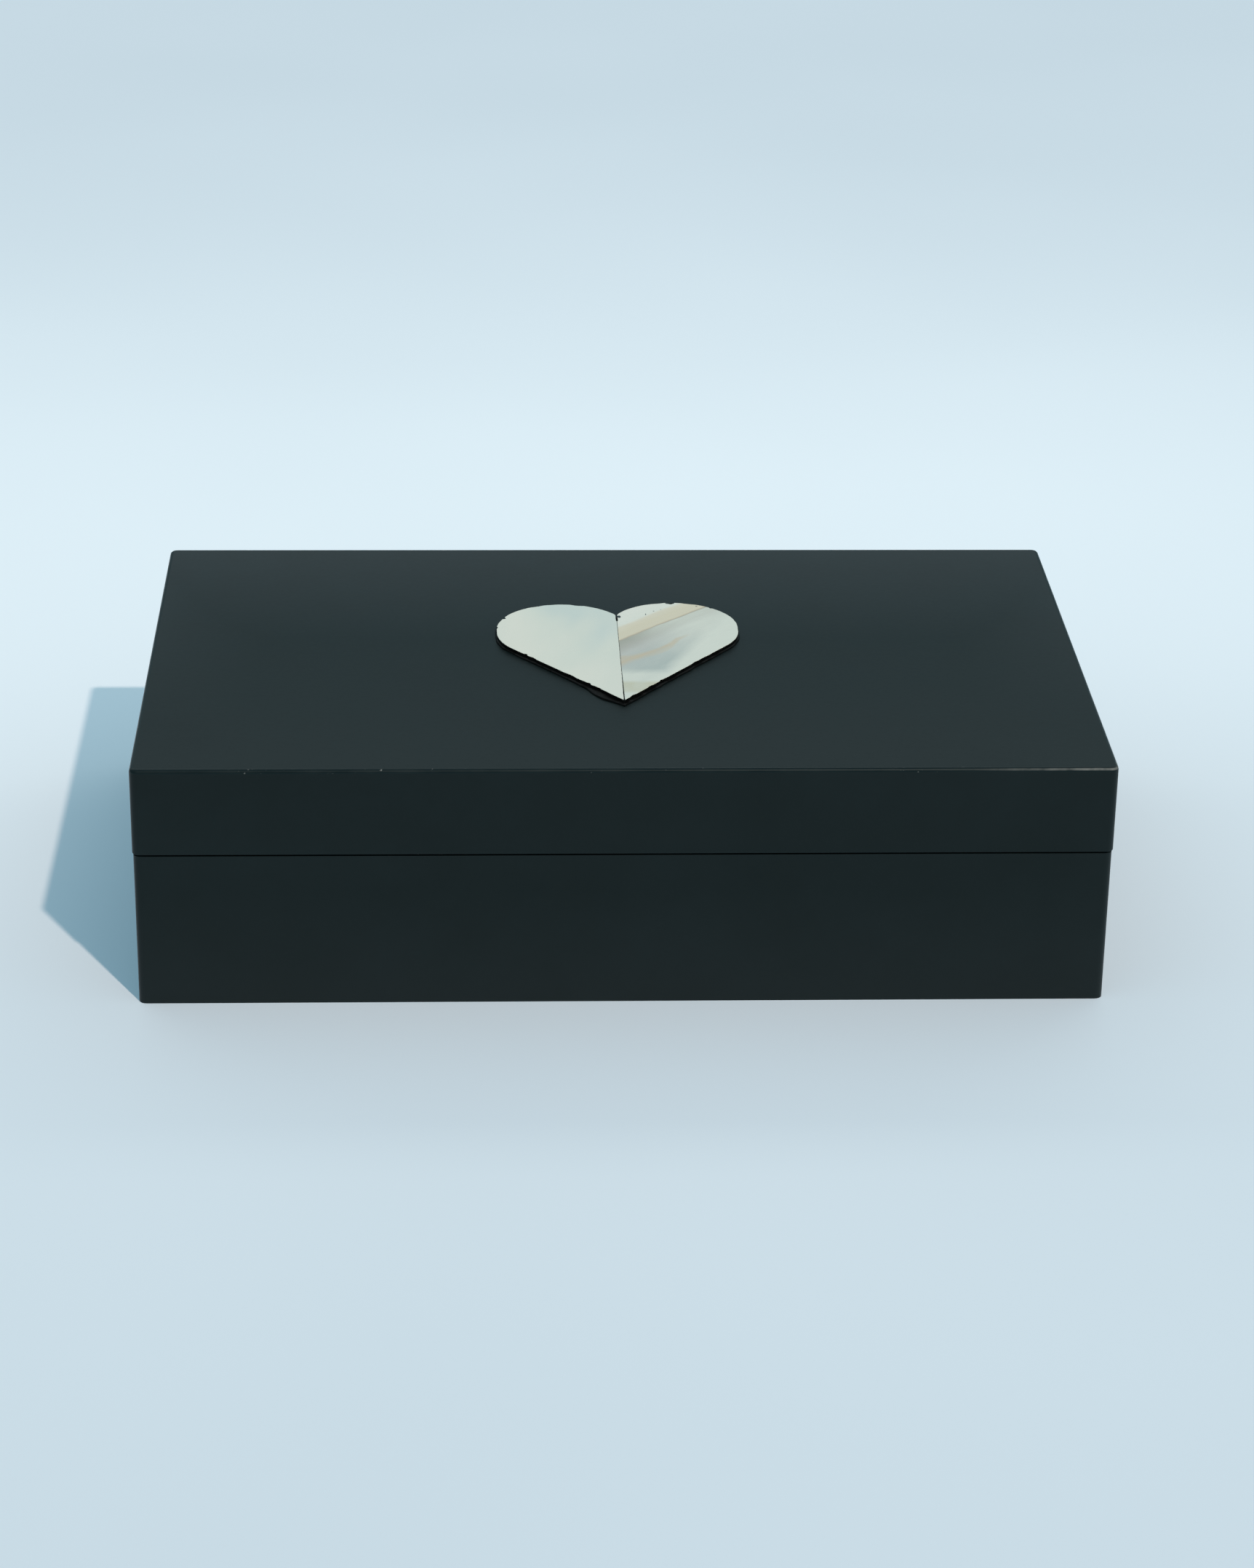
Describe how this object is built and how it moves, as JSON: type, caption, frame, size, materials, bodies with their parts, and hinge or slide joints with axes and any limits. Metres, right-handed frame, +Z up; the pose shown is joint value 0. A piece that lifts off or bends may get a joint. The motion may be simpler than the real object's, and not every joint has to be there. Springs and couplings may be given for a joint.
{
  "type": "wind up music box",
  "caption": "Rectangular keepsake box with a hinged lid, a pale two-part heart on the lid, lined compartments and a pinned-cylinder movement wound by a key under the base.",
  "frame": {"origin": "centre of the case's underside, on the surface that it stands on", "axes": "+X to the right along the long side, +Y to the hinged back, +Z up; the front faces -Y"},
  "size_m": [0.25, 0.156, 0.0673],
  "materials": {
    "black_paint": "satin",
    "black_paint_top": "satin",
    "dark_board": "matte",
    "pale_shell": "gloss",
    "streaked_shell": "gloss",
    "black_glue": "satin",
    "velvet": "matte",
    "rubber": "matte",
    "clear_plastic": "gloss",
    "bare_wood": "matte",
    "zinc_casting": "satin",
    "comb_steel": "satin",
    "steel": "satin",
    "spring_steel": "satin",
    "fan_plastic": "satin",
    "brass": "satin"
  },
  "bodies": {
    "base": {"base_front_wall": "black_paint", "base_back_wall": "black_paint", "base_left_wall": "black_paint", "base_right_wall": "black_paint", "bottom_panel": "dark_board", "bay_side_partition": "dark_board", "bay_front_partition": "dark_board", "well_floor_pad": "velvet", "well_liner_boards": "velvet", "ring_liner_boards": "velvet", "ring_rolls": "velvet", "hinge_left_lower_leaf": "brass", "hinge_left_pin": "steel", "hinge_right_lower_leaf": "brass", "hinge_right_pin": "steel", "hinge_lower_screws": "brass", "rim_bumpers": "rubber", "cover_corner_blocks": "bare_wood", "movement_cover": "clear_plastic", "cover_screws": "brass", "bedplate": "zinc_casting", "bedplate_screws": "steel", "arbor_bush": "brass", "cylinder_brackets": "zinc_casting", "comb": "comb_steel", "comb_screws": "steel", "governor_frame": "brass", "governor_screws": "steel", "stop_lever_bracket": "zinc_casting", "stop_spring": "spring_steel"},
    "lid": {"lid_top_panel": "black_paint_top", "lid_front_rail": "black_paint", "lid_back_rail": "black_paint", "lid_left_rail": "black_paint", "lid_right_rail": "black_paint", "heart_left_half": "pale_shell", "heart_right_half": "streaked_shell", "heart_glue_bed": "black_glue", "lid_pad": "velvet", "lid_liner_boards": "velvet", "hinge_left_upper_leaf": "brass", "hinge_right_upper_leaf": "brass", "hinge_upper_screws": "brass"},
    "key": {"winding_arbor": "steel", "winding_key": "brass", "arbor_clip": "steel"},
    "barrel": {"spring_barrel": "brass", "barrel_cap": "brass", "mainspring": "spring_steel"},
    "cylinder": {"cylinder_drum": "brass", "cylinder_arbor": "steel", "cylinder_gear": "brass"},
    "governor": {"governor_wheel": "brass"},
    "fan": {"fan_spindle": "steel", "fan_worm": "brass", "governor_fan": "fan_plastic"},
    "plunger": {"stop_plunger": "brass"},
    "lever": {"stop_lever": "steel"}
  },
  "joints": [
    {"name": "lid_hinge", "type": "hinge", "parent": "base", "child": "lid", "pos_m": [0, 0.0748, 0.04205], "axis": [-1, 0, 0], "range_deg": [0, 95]},
    {"name": "key_turn", "type": "hinge", "parent": "base", "child": "key", "pos_m": [0.0725, 0.035, 0.006], "axis": [0, 0, 1], "continuous": true},
    {"name": "cylinder_spin", "type": "hinge", "parent": "base", "child": "cylinder", "pos_m": [0.0973, 0.035, 0.027], "axis": [1, 0, 0], "continuous": true},
    {"name": "barrel_spin", "type": "hinge", "parent": "base", "child": "barrel", "pos_m": [0.0725, 0.035, 0.024], "axis": [0, 0, 1], "continuous": true},
    {"name": "governor_spin", "type": "hinge", "parent": "base", "child": "governor", "pos_m": [0.102, 0.047, 0.027], "axis": [1, 0, 0], "continuous": true},
    {"name": "fan_spin", "type": "hinge", "parent": "base", "child": "fan", "pos_m": [0.102, 0.0524, 0.027], "axis": [0, 0, 1], "continuous": true},
    {"name": "stop_plunger_slide", "type": "slide", "parent": "base", "child": "plunger", "axis": [0, 0, 1], "range_m": [0, 0.0012]},
    {"name": "stop_lever_swing", "type": "hinge", "parent": "base", "child": "lever", "pos_m": [0.112, 0.0524, 0.032], "axis": [0, -1, 0], "range_deg": [0, 11.5]}
  ],
  "couplings": [
    {"joint": "barrel_spin", "follows": "cylinder_spin", "ratio": 0.25},
    {"joint": "governor_spin", "follows": "cylinder_spin", "ratio": -5},
    {"joint": "fan_spin", "follows": "cylinder_spin", "ratio": 80},
    {"joint": "stop_plunger_slide", "follows": "lid_hinge", "m_per_rad": 0.00072366},
    {"joint": "stop_lever_swing", "follows": "lid_hinge", "ratio": 0.12104}
  ]
}
